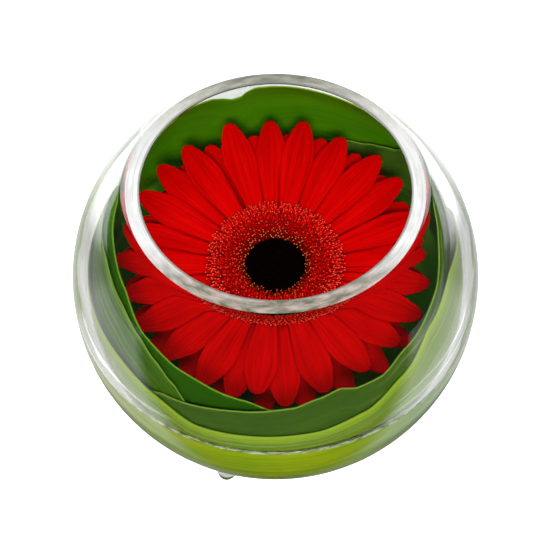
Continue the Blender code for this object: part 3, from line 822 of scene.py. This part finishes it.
def bowl_profile():
    """Half section of the bowl from the floor's middle, up inside, over the rim and down outside."""
    inner = wall_arc(CAVITY_LIFT, CAVITY_RADIUS, FLOOR_Z + FLOOR_CORNER, RIM_Z - RIM_ROUND)
    outer = wall_arc(0.0, BALL_RADIUS, RIM_Z - RIM_ROUND, BASE_Z)
    floor_edge = inner[0][0] - FLOOR_CORNER
    corner = floor_corner(floor_edge, FLOOR_Z)
    inner_side = inner[-1][0] + RIM_ROUND
    rim = rim_corner(inner_side, -1.0) + [(inner_side + RIM_INNER_LINE, RIM_Z)]
    rim += rim_corner(outer[0][0] - RIM_ROUND, 1.0)[::-1]
    return [(0.0, FLOOR_Z), (floor_edge, FLOOR_Z)] + corner + inner + rim + outer + [(0.0, BASE_Z)]


def make_foot(index):
    """One nub: a long ball half sunk in the wall, cut flat where it meets the table."""
    azimuth = math.radians(FOOT_FIRST_AZIMUTH + 360.0 / FOOT_COUNT * index)
    latitude = math.radians(FOOT_LATITUDE)
    outward = Vector((math.sin(azimuth) * math.cos(latitude), -math.cos(azimuth) * math.cos(latitude),
                      math.sin(latitude)))
    turn = outward.to_track_quat("Z", "Y").to_matrix()
    size = Matrix.Diagonal((FOOT_RADIUS, FOOT_RADIUS, FOOT_LENGTH))
    bm = bmesh.new()
    bmesh.ops.create_uvsphere(bm, u_segments=32, v_segments=20, radius=1.0)
    for vertex in bm.verts:
        vertex.co = turn @ (size @ vertex.co) + outward * FOOT_CENTRE + CENTRE
    down = Vector((0.0, 0.0, -1.0))
    for point, normal in ((CENTRE + outward * FOOT_ROOT, -outward), (Vector((0.0, 0.0, 0.0)), down)):
        geometry = bm.verts[:] + bm.edges[:] + bm.faces[:]
        cut = bmesh.ops.bisect_plane(bm, geom=geometry, plane_co=point, plane_no=normal,
                                     clear_outer=True)
        edges = [part for part in cut["geom_cut"] if isinstance(part, bmesh.types.BMEdge)]
        bmesh.ops.contextual_create(bm, geom=edges)
    bmesh.ops.recalc_face_normals(bm, faces=bm.faces)
    return mesh_object("foot", bm)


def add_feet(bowl):
    """Join the feet to the ball, so that the bowl is one piece of glass."""
    feet = bpy.data.collections.new("feet")
    bpy.context.scene.collection.children.link(feet)
    for index in range(FOOT_COUNT):
        feet.objects.link(make_foot(index))
    boolean = bowl.modifiers.new("feet", "BOOLEAN")
    boolean.operation = "UNION"
    boolean.solver = "EXACT"
    boolean.operand_type = "COLLECTION"
    boolean.collection = feet
    apply_modifiers(bowl)
    for foot in list(feet.objects):
        bpy.data.objects.remove(foot, do_unlink=True)
    bpy.data.collections.remove(feet)


def mark_cut_face(bowl):
    """Give the rim's flat top its own material, all but a fine line of clear glass inside it."""
    bowl.data.materials.append(rim_material())
    wall = math.sqrt(CAVITY_RADIUS ** 2 - (RIM_Z - CAVITY_LIFT) ** 2)
    start = wall + RIM_ROUND + RIM_INNER_LINE
    for face in bowl.data.polygons:
        x, y, z = face.center
        if z > BOWL_HIGH.z - RIM_ROUND and math.hypot(x, y) > start:
            face.material_index = 1


def make_bowl():
    bm = bmesh.new()
    turn_profile(bm, bowl_profile(), BOWL_STEPS, Matrix.Translation(CENTRE))
    bowl = add_solid("bowl", bm, glass_material(), "clear_glass", "glass_bowl")
    add_feet(bowl)
    sharpen(bowl, 50.0)
    mark_cut_face(bowl)


def apply_modifiers(item):
    bpy.context.view_layer.update()
    graph = bpy.context.evaluated_depsgraph_get()
    mesh = bpy.data.meshes.new_from_object(item.evaluated_get(graph))
    item.modifiers.clear()
    item.data = mesh


def water_profile():
    """Half section of the water: over its surface and climbing edge, down the wall and to the floor."""
    floor = FLOOR_Z - WATER_IN_GLASS
    radius = CAVITY_RADIUS + WATER_IN_GLASS
    wall = wall_arc(CAVITY_LIFT, radius, WATER_Z + MENISCUS_HEIGHT, floor + FLOOR_CORNER)
    surface = [(0.1 * i * (wall[0][0] - MENISCUS_WIDTH), WATER_Z) for i in range(10)]
    for i in range(16):
        inward = MENISCUS_WIDTH * (1.0 - i / 16.0)
        climb = MENISCUS_HEIGHT * math.exp(-inward / MENISCUS_REACH)
        surface.append((wall[0][0] - inward, WATER_Z + climb))
    edge = wall[-1][0] - FLOOR_CORNER
    return surface + wall + floor_corner(edge, floor)[::-1] + [(edge, floor), (0.0, floor)]


def make_water():
    """Still water that wets the wall and climbs it a little."""
    bm = bmesh.new()
    turn_profile(bm, water_profile(), BOWL_STEPS, Matrix.Translation(CENTRE))
    water = add_solid("water_fill", bm, water_material(), "water", "water")
    sharpen(water, 60.0)
    water.data.materials.append(meniscus_material())
    # The climbing edge gets the painted white highlight
    for face in water.data.polygons:
        if face.center.z > WATER_LEVEL + MENISCUS_WHITE:
            face.material_index = 1


def eased(points, place):
    """The value at a place along a list of (place, value) points, eased from each to the next."""
    if place <= points[0][0]:
        return points[0][1]
    for (x0, y0), (x1, y1) in zip(points, points[1:]):
        if place <= x1:
            part = (place - x0) / (x1 - x0)
            part = 0.5 * part + 0.5 * part * part * (3.0 - 2.0 * part)
            return y0 + (y1 - y0) * part
    return points[-1][1]


def ripple(azimuth, latitude):
    """How far the lining stands in from the wall; all leaves share it, so they never cross."""
    wave = 0.5 + 0.5 * math.sin(math.radians(RIPPLE_TURNS * azimuth) + RIPPLE_SLANT * latitude)
    return RIPPLE_DEPTH * wave


def leaf_point(leaf, u, v):
    """A point of the leaf's middle surface, and its metres along and, twice, in from the edge."""
    azimuth = leaf.start + (leaf.end - leaf.start) * u
    radius = OUTER_LEAF_RADIUS - LEAF_SPACING * eased(leaf.layers, azimuth)
    edge = eased(leaf.edge, azimuth) * 0.001 - CAVITY_LIFT
    upper = math.degrees(math.asin(edge / radius))
    narrow = min(1.0, (azimuth - leaf.start) / leaf.taper[0], (leaf.end - azimuth) / leaf.taper[1])
    width = (upper - leaf.low) * math.sin(math.pi / 2.0 * max(0.0, narrow))
    lower = upper - max(width, LEAF_TIP_WIDTH * min(1.0, 0.1 + 20.0 * narrow))
    latitude = math.radians(lower + (upper - lower) * v)
    turn = math.radians(azimuth)
    distance = radius - ripple(azimuth, latitude)
    reach = distance * math.cos(latitude)
    height = max(distance * math.sin(latitude) + CAVITY_LIFT, FLOOR_Z + CAVITY_RADIUS - radius)
    inward = math.radians(upper - lower) * (1.0 - v) * radius
    place = Vector((reach * math.sin(turn), -reach * math.cos(turn), height))
    return CENTRE + place, (turn * radius, inward, inward)


def make_blade(bm, layer, columns, rows, point):
    """A grid of faces through point(u, v), which returns a place and the three numbers kept in layer."""
    grid = []
    for i in range(columns + 1):
        line = []
        for j in range(rows + 1):
            place, numbers = point(i / columns, j / rows)
            vertex = bm.verts.new(place)
            vertex[layer] = Vector(numbers)
            line.append(vertex)
        grid.append(line)
    for i in range(columns):
        for j in range(rows):
            bm.faces.new((grid[i][j], grid[i + 1][j], grid[i + 1][j + 1], grid[i][j + 1]))


def thicken(item, thickness):
    solidify = item.modifiers.new("thickness", "SOLIDIFY")
    solidify.thickness = thickness
    solidify.offset = 0.0
    apply_modifiers(item)
    item.data.shade_smooth()


def make_leaves():
    for leaf in LEAVES:
        look = LEAF_LOOKS[leaf.name]
        bm, layer = numbered_mesh("leaf_place")
        columns = round(math.radians(leaf.end - leaf.start) * OUTER_LEAF_RADIUS / LEAF_CELL)
        rows = round(LEAF_TALL * OUTER_LEAF_RADIUS / LEAF_CELL / 2.0)
        make_blade(bm, layer, columns, rows, lambda u, v: leaf_point(leaf, u, v))
        material = leaf_material(leaf.name, look)
        blade = add_piece(leaf.name + "_blade", bm, material, look.slot, leaf.name)
        thicken(blade, LEAF_THICKNESS)


def ray_point(whorl, angle, tip, drop, mark):
    """The surface of one ray: a strap, widest past the middle, with a blunt toothed end and furrows."""
    along, across = compass(angle)

    def point(part, side):
        v = math.sin(math.pi / 2.0 * (2.0 * side - 1.0))
        teeth = RAY_TEETH * math.cos(3.0 * math.pi * v + 2.0 * mark)
        end = tip - RAY_TIP_DEPTH * (1.0 - math.sqrt(max(0.0, 1.0 - abs(v) ** 2.2))) + teeth
        length = RAY_ROOT + (end - RAY_ROOT) * (1.0 - (1.0 - part) ** 1.4)
        u = (length - RAY_ROOT) / (tip - RAY_ROOT)
        share = eased(RAY_OUTLINE, u)
        height = (length - RAY_ROOT) * math.tan(whorl.slope) + whorl.rise * u ** 3 - drop
        height += RAY_ARCH * math.sin(math.pi * u)
        height += RAY_TROUGH * abs(v) ** 1.5 * share * (1.0 - 1.3 * u)
        furrow = sum(math.exp(-((v - middle) / FURROW_WIDTH) ** 2) for middle in FURROW_PLACES)
        height -= RAY_FURROW * furrow * math.sin(math.pi * min(1.0, 1.05 * u))
        place = along * length + across * v * whorl.half_width * share + Vector((0.0, 0.0, height))
        return BLOOM_FRAME @ place, (u, v, mark)

    return point


def add_whorl(bm, layer, rays, whorl):
    for index, (angle, tip, under) in enumerate(rays):
        drop = whorl.drop + TIER_DROP * under
        point = ray_point(whorl, math.radians(angle), tip * 0.001, drop, whorl.mark + 0.37 * index)
        make_blade(bm, layer, RAY_COLUMNS, RAY_ROWS, point)


def make_rays():
    """Two whorls of rays and the small hub that they spring from."""
    bm, layer = numbered_mesh("ray_place")
    add_whorl(bm, layer, UPPER_RAYS, UPPER)
    add_whorl(bm, layer, LOWER_RAYS, LOWER)
    red = ray_material()
    rays = add_piece("red_rays", bm, red, "red_ray", "gerbera_rays")
    thicken(rays, RAY_THICKNESS)
    bm = bmesh.new()
    profile = [(0.0, HUB_TOP), (HUB_RADIUS, HUB_TOP), (HUB_RADIUS, HUB_BOTTOM), (0.0, HUB_BOTTOM)]
    turn_profile(bm, profile, 48, BLOOM_FRAME)
    hub = add_solid("ray_hub", bm, red, "red_ray")
    sharpen(hub, 40.0)


def ring_underside(radius):
    """Height just above the rays, which the ring of florets lies on."""
    outward = radius - RAY_ROOT
    rise = UPPER.rise * (outward / (RAY_REACH - RAY_ROOT)) ** 3
    return outward * math.tan(UPPER.slope) + rise + RAY_ARCH + 2.0 * CLEARANCE


def ring_top(radius):
    part = (radius - FLORET_INNER) / (FLORET_OUTER - FLORET_INNER)
    return ring_underside(radius) + FLORET_EDGE + FLORET_BULGE * math.sin(math.pi * (0.06 + 0.92 * part))


def add_tube(bm, layer, points, radii, sides, numbers):
    """A thin tube along points, closed at both ends; numbers gives what layer holds at each ring."""
    rings = []
    for i, point in enumerate(points):
        ahead = points[min(i + 1, len(points) - 1)] - points[max(i - 1, 0)]
        turn = ahead.to_track_quat("Z", "Y")
        ring = []
        for k in range(sides):
            offset = turn @ compass(math.tau * k / sides)[0] * radii[i]
            vertex = bm.verts.new(point + offset)
            vertex[layer] = Vector(numbers[i])
            ring.append(vertex)
        rings.append(ring)
    for first, second in zip(rings, rings[1:]):
        for k in range(sides):
            bm.faces.new((first[k], first[(k + 1) % sides], second[(k + 1) % sides], second[k]))
    bm.faces.new(rings[0][::-1])
    bm.faces.new(rings[-1])


def add_cushion(bm, layer):
    """The low cushion that the florets stand on."""
    width = FLORET_OUTER - CUSHION_INSET - FLORET_INNER
    radii = [FLORET_INNER + width * i / CUSHION_STEPS for i in range(CUSHION_STEPS + 1)]
    profile = [(radius, ring_top(radius) - CUSHION_SUNK) for radius in radii]
    profile += [(radius, ring_underside(radius)) for radius in (radii[-1], radii[0])] + profile[:1]
    for ring in turn_profile(bm, profile, 72, CENTRE_FRAME):
        for vertex in ring:
            vertex[layer] = Vector((0.0, 0.5, 0.0))
    bmesh.ops.remove_doubles(bm, verts=bm.verts, dist=1e-6)


def add_floret(bm, layer, index, draw):
    """One small curved tube; the inner ones lean toward the eye and the outer ones away from it."""
    part = (index + 0.5) / FLORET_COUNT
    radius = math.sqrt(FIRST_FLORET ** 2 * (1.0 - part) + LAST_FLORET ** 2 * part)
    radius += draw.uniform(-FLORET_SCATTER, FLORET_SCATTER)
    out, side = compass(index * GOLDEN_ANGLE + draw.uniform(-FLORET_TURN, FLORET_TURN))
    lean = FLORET_LEAN + FLORET_LEAN_GAIN * part
    lean += draw.uniform(-FLORET_LEAN_SCATTER, FLORET_LEAN_SCATTER)
    sway = draw.uniform(-FLORET_SWAY, FLORET_SWAY)
    length = draw.uniform(*FLORET_LENGTHS)
    mark = draw.random()
    root = out * radius + Vector((0.0, 0.0, ring_top(radius) - FLORET_SUNK))
    heading = (out * math.sin(lean) + side * sway + Vector((0.0, 0.0, math.cos(lean)))).normalized()
    curl = out * FLORET_CURL * math.copysign(1.0, lean) * length
    thick = FLORET_THICK + FLORET_THICKER * mark
    points = [CENTRE_FRAME @ (root + heading * length * t + curl * t * t) for t, share in FLORET_SHAPE]
    radii = [thick * share for t, share in FLORET_SHAPE]
    add_tube(bm, layer, points, radii, 6, [(t, part, mark) for t, share in FLORET_SHAPE])


def make_florets():
    """The ring of small florets on its low cushion."""
    bm, layer = numbered_mesh("floret_place")
    draw = random.Random(SEED)
    add_cushion(bm, layer)
    for index in range(FLORET_COUNT):
        add_floret(bm, layer, index, draw)
    add_solid("trans_florets", bm, floret_material(), "red_floret", "gerbera_trans_florets")


def dome_height(lean):
    return DISC_BOTTOM + DISC_EDGE + DISC_BULGE * math.cos(lean)


def make_disc():
    """The dark eye: a low dome with a small pointed bud at each place of a sunflower spiral."""
    bm = bmesh.new()
    profile = []
    for lean in [0.0] + quarter(12, 12):
        profile.append((DISC_RADIUS * math.sin(lean), dome_height(lean) - DISC_SUNK))
    profile += [(DISC_RADIUS, DISC_BOTTOM), (0.0, DISC_BOTTOM)]
    turn_profile(bm, profile, 48, CENTRE_FRAME)
    size = Matrix.Diagonal((*BUD_SIZE, 1.0))
    for index in range(BUD_COUNT):
        radius = (DISC_RADIUS - BUD_MARGIN) * math.sqrt((index + 0.5) / BUD_COUNT)
        angle = index * GOLDEN_ANGLE
        lean = math.asin(radius / DISC_RADIUS)
        place = (radius * math.cos(angle), radius * math.sin(angle), dome_height(lean))
        tilt = Matrix.Rotation(angle, 4, "Z") @ Matrix.Rotation(BUD_LEAN * lean, 4, "Y")
        frame_of_bud = CENTRE_FRAME @ Matrix.Translation(place) @ tilt @ size
        bmesh.ops.create_icosphere(bm, subdivisions=1, radius=1.0, matrix=frame_of_bud)
    add_solid("eye", bm, disc_material(), "dark_eye", "gerbera_disc")


def stem_points(start, finish, steps):
    """The stem's line as a cubic curve in the bloom's frame."""
    pull = Vector((0.0, 0.0, STEM_PULL))
    points = []
    for i in range(steps + 1):
        t = i / steps
        near = (1.0 - t) ** 3 * start + 3.0 * (1.0 - t) ** 2 * t * (start - pull)
        far = 3.0 * (1.0 - t) * t * t * (finish + pull) + t ** 3 * finish
        points.append(BLOOM_FRAME @ (near + far))
    return points


def bract_point(index):
    """The surface of one pointed bract; every second one starts lower and nearer the stem."""
    row = index % 2
    out, side = compass(math.tau * index / BRACT_COUNT)
    root = CUP_RADIUS * (0.60 - 0.12 * row)
    low = CUP_TOP - BRACT_DROP - BRACT_ROW_DROP * row

    def point(u, v):
        width = (2.0 * v - 1.0) * BRACT_HALF_WIDTH * (1.0 - 0.92 * u ** 1.8)
        place = out * (root + 0.42 * BRACT_LENGTH * u) + side * width
        place += Vector((0.0, 0.0, low + 0.86 * BRACT_LENGTH * u))
        return BLOOM_FRAME @ place, (0.0, 0.0, 0.0)

    return point


def make_stem():
    """The short stem, and the green cup under the head with its pointed bracts."""
    bm, layer = numbered_mesh("stem_place")
    cup = [(CUP_RADIUS * share, CUP_TOP - drop) for share, drop in CUP_SHAPE]
    profile = [(0.0, CUP_TOP)] + cup + [(STEM_RADIUS * 1.05, CUP_BOTTOM), (0.0, CUP_BOTTOM)]
    turn_profile(bm, profile, 48, BLOOM_FRAME)
    finish = BLOOM_FRAME.inverted() @ (STEM_END + CENTRE)
    points = stem_points(Vector((0.0, 0.0, CUP_BOTTOM + 0.003)), finish, STEM_STEPS)
    count = len(points)
    add_tube(bm, layer, points, [STEM_RADIUS] * count, 20, [(0.0, 0.0, 0.0)] * count)
    for index in range(BRACT_COUNT):
        make_blade(bm, layer, 6, 4, bract_point(index))
    stem = add_solid("stem_and_cup", bm, stem_material(), "green_stem", "gerbera_stem")
    sharpen(stem, 50.0)


def add_lamp(name, place, size, power):
    """A square soft lamp aimed at the bowl, which lights things but isn't mirrored in them."""
    light = bpy.data.lights.new(name, "AREA")
    light.size = size
    light.energy = power
    item = bpy.data.objects.new(name, light)
    show(item)
    item.location = place
    item.rotation_mode = "QUATERNION"
    item.rotation_quaternion = (Vector(place) - CENTRE).to_track_quat("Z", "Y")
    item.visible_glossy = False
    item.visible_transmission = False


def make_table():
    """A plain white table top with rounded corners."""
    bm = bmesh.new()
    corners = []
    for turn, (x, y) in enumerate(TABLE_CORNERS):
        middle = Vector((x - math.copysign(TABLE_ROUND, x), y - math.copysign(TABLE_ROUND, y), 0.0))
        for step in range(9):
            out = compass(math.radians(90.0 * turn + 90.0 * step / 8))[0]
            corners.append(bm.verts.new(middle + TABLE_ROUND * out))
    bm.faces.new(corners)
    table = mesh_object("table", bm)
    table.location = (0.0, 0.0, -TABLE_GAP)
    show(table)
    table.data.materials.append(floor_material())


def make_world():
    """White where the camera sees it, soft light for what stands in it, and dark in mirrors."""
    world = bpy.data.worlds.new("studio")
    bpy.context.scene.world = world
    world.use_nodes = True
    tree = world.node_tree
    background = tree.nodes["Background"]
    background.inputs["Color"].default_value = (1.0, 1.0, 1.0, 1.0)
    path = tree.nodes.new("ShaderNodeLightPath")
    mirrored = tree.nodes.new("ShaderNodeMix")
    mirrored.inputs[2].default_value = ROOM_SEEN
    mirrored.inputs[3].default_value = ROOM_MIRRORED
    lit = tree.nodes.new("ShaderNodeMix")
    lit.inputs[3].default_value = ROOM_LIGHT
    tree.links.new(path.outputs["Glossy Depth"], mirrored.inputs[0])
    tree.links.new(path.outputs["Diffuse Depth"], lit.inputs[0])
    tree.links.new(mirrored.outputs[0], lit.inputs[2])
    tree.links.new(lit.outputs[0], background.inputs["Strength"])


def make_stage():
    """A white table in a white room, a lamp in front and a soft one above."""
    make_table()
    make_world()
    add_lamp("front_lamp", *FRONT_LAMP)
    add_lamp("top_lamp", *TOP_LAMP)


def make_camera():
    data = bpy.data.cameras.new("camera")
    camera = bpy.data.objects.new("camera", data)
    show(camera)
    bpy.context.scene.camera = camera
    back = Vector((0.0, -math.cos(CAMERA_ELEVATION), math.sin(CAMERA_ELEVATION)))
    camera.location = CENTRE + back * CAMERA_DISTANCE
    camera.rotation_euler = (math.pi / 2.0 - CAMERA_ELEVATION, 0.0, 0.0)
    data.sensor_width = SENSOR_WIDTH
    data.lens = FOCAL_PIXELS / IMAGE_SIZE * SENSOR_WIDTH
    data.shift_x = -(BALL_CENTRE_PIXEL[0] - IMAGE_SIZE / 2.0) / IMAGE_SIZE
    data.shift_y = (BALL_CENTRE_PIXEL[1] - IMAGE_SIZE / 2.0) / IMAGE_SIZE
    data.clip_start = 0.01
    data.dof.use_dof = False


def set_colours():
    settings = bpy.context.scene.view_settings
    settings.view_transform = "Standard"
    settings.look = "None"


def allow_light_in_glass():
    """Light turns many times inside the rim before it leaves it."""
    cycles = bpy.context.scene.cycles
    cycles.max_bounces = LIGHT_BOUNCES
    cycles.glossy_bounces = LIGHT_BOUNCES
    cycles.transmission_bounces = LIGHT_BOUNCES


make_bowl()
make_water()
make_leaves()
make_rays()
make_florets()
make_disc()
make_stem()
make_stage()
make_camera()
set_colours()
allow_light_in_glass()
